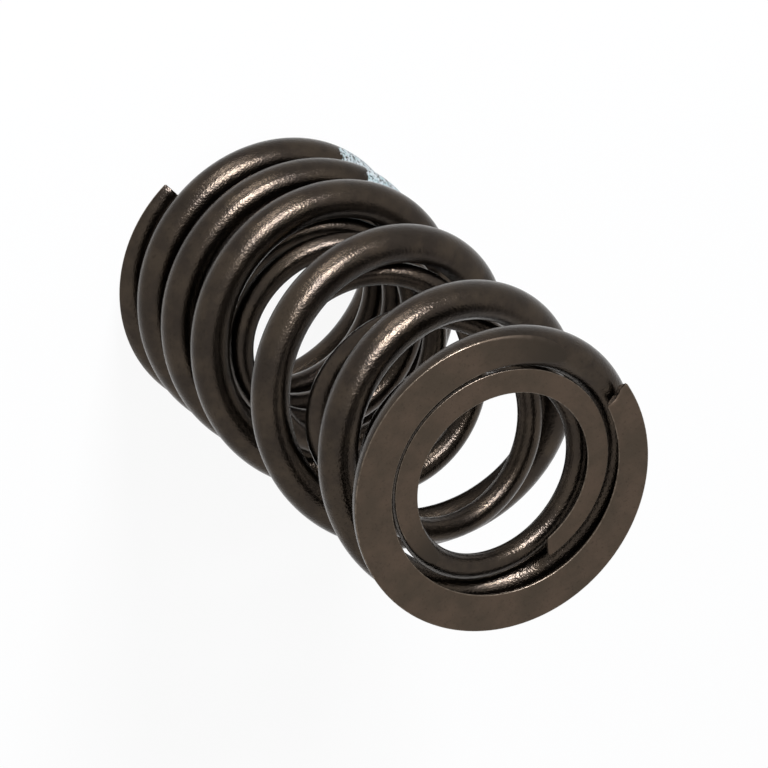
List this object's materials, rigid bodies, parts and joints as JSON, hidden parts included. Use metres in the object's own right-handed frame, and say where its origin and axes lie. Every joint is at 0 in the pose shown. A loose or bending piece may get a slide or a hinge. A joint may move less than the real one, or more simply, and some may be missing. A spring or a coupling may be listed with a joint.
{
  "type": "engine valve spring",
  "caption": "Nested pair of round-wire engine valve springs wound opposite ways, with open turns above, close turns below and ground ends.",
  "frame": {"origin": "on the outer spring's axis, at its lower ground face", "axes": "+Z along the springs' axis, from the close-wound end to the open-wound end; the outer spring's upper tip lies towards +X"},
  "size_m": [0.0383, 0.038, 0.0725],
  "materials": {
    "outer_spring": "shot-peened, dark oxidised",
    "inner_spring": "shot-peened, dark oxidised"
  },
  "bodies": {
    "root": {"outer_spring": "outer_spring", "inner_spring": "inner_spring"}
  },
  "joints": []
}
